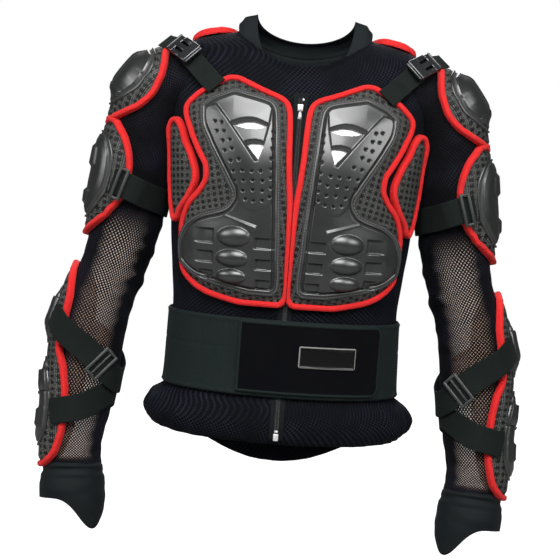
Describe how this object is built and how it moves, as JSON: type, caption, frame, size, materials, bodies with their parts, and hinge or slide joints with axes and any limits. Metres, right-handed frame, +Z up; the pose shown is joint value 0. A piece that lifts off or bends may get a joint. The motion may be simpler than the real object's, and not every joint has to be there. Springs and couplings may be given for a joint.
{
  "type": "motocross armor jacket",
  "caption": "Mesh armour jacket with foam pads, hard chest, shoulder, arm and spine guards, bound edges, straps and a waist belt, in its worn shape.",
  "frame": {"origin": "between the shoulder joints, on the shoulder line from which the worn jacket hangs", "axes": "+Z up, -Y towards the wearer's front, +X towards the wearer's left arm"},
  "size_m": [0.7174, 0.2598, 0.7627],
  "materials": {
    "jersey": "open knitted mesh",
    "lycra": "smooth stretch knit",
    "foam": "woven mesh over foam, star-shaped holes",
    "tape": "ribbed binding tape",
    "shell": "satin moulded plastic",
    "pale": "smooth",
    "webbing": "woven elastic",
    "buckle": "gloss",
    "velvet": "brushed loop pile",
    "faux_leather": "gloss, pale stitched edge",
    "zip_metal": "plated"
  },
  "bodies": {
    "root": {"sleeve_left": "jersey", "sleeve_right": "jersey", "cuff_left": "lycra", "cuff_right": "lycra", "chest_pad_left": "foam", "chest_pad_right": "foam", "chest_binding_left": "tape", "chest_binding_right": "tape", "chest_plate_left": "shell", "chest_plate_right": "shell", "vent_insert_left": "pale", "vent_insert_right": "pale", "side_pad_left": "foam", "side_pad_right": "foam", "side_binding_left": "tape", "side_binding_right": "tape", "shoulder_pad_left": "foam", "shoulder_pad_right": "foam", "shoulder_binding_left": "tape", "shoulder_binding_right": "tape", "shoulder_cup_left": "shell", "shoulder_cup_right": "shell", "arm_pad_left": "foam", "arm_pad_right": "foam", "arm_binding_left": "tape", "arm_binding_right": "tape", "arm_guard_left": "shell", "arm_guard_right": "shell", "forearm_pad_left": "foam", "forearm_pad_right": "foam", "forearm_binding_left": "tape", "forearm_binding_right": "tape", "elbow_cup_left": "shell", "elbow_cup_right": "shell", "forearm_guard_left": "shell", "forearm_guard_right": "shell", "shoulder_strap_left": "webbing", "shoulder_strap_right": "webbing", "shoulder_buckle_left": "buckle", "shoulder_buckle_right": "buckle", "arm_strap_left": "webbing", "arm_strap_right": "webbing", "arm_loop_left": "buckle", "arm_loop_right": "buckle", "elbow_strap_left": "webbing", "elbow_strap_right": "webbing", "wrist_strap_left": "webbing", "wrist_strap_right": "webbing", "strap_loop_left": "buckle", "strap_loop_right": "buckle", "torso_jersey": "jersey", "collar": "lycra", "belt": "webbing", "belt_flap": "velvet", "belt_patch": "faux_leather", "zip": "webbing", "zip_pull": "zip_metal", "back_pad": "foam", "back_binding": "tape", "spine_guard": "shell"}
  },
  "joints": []
}
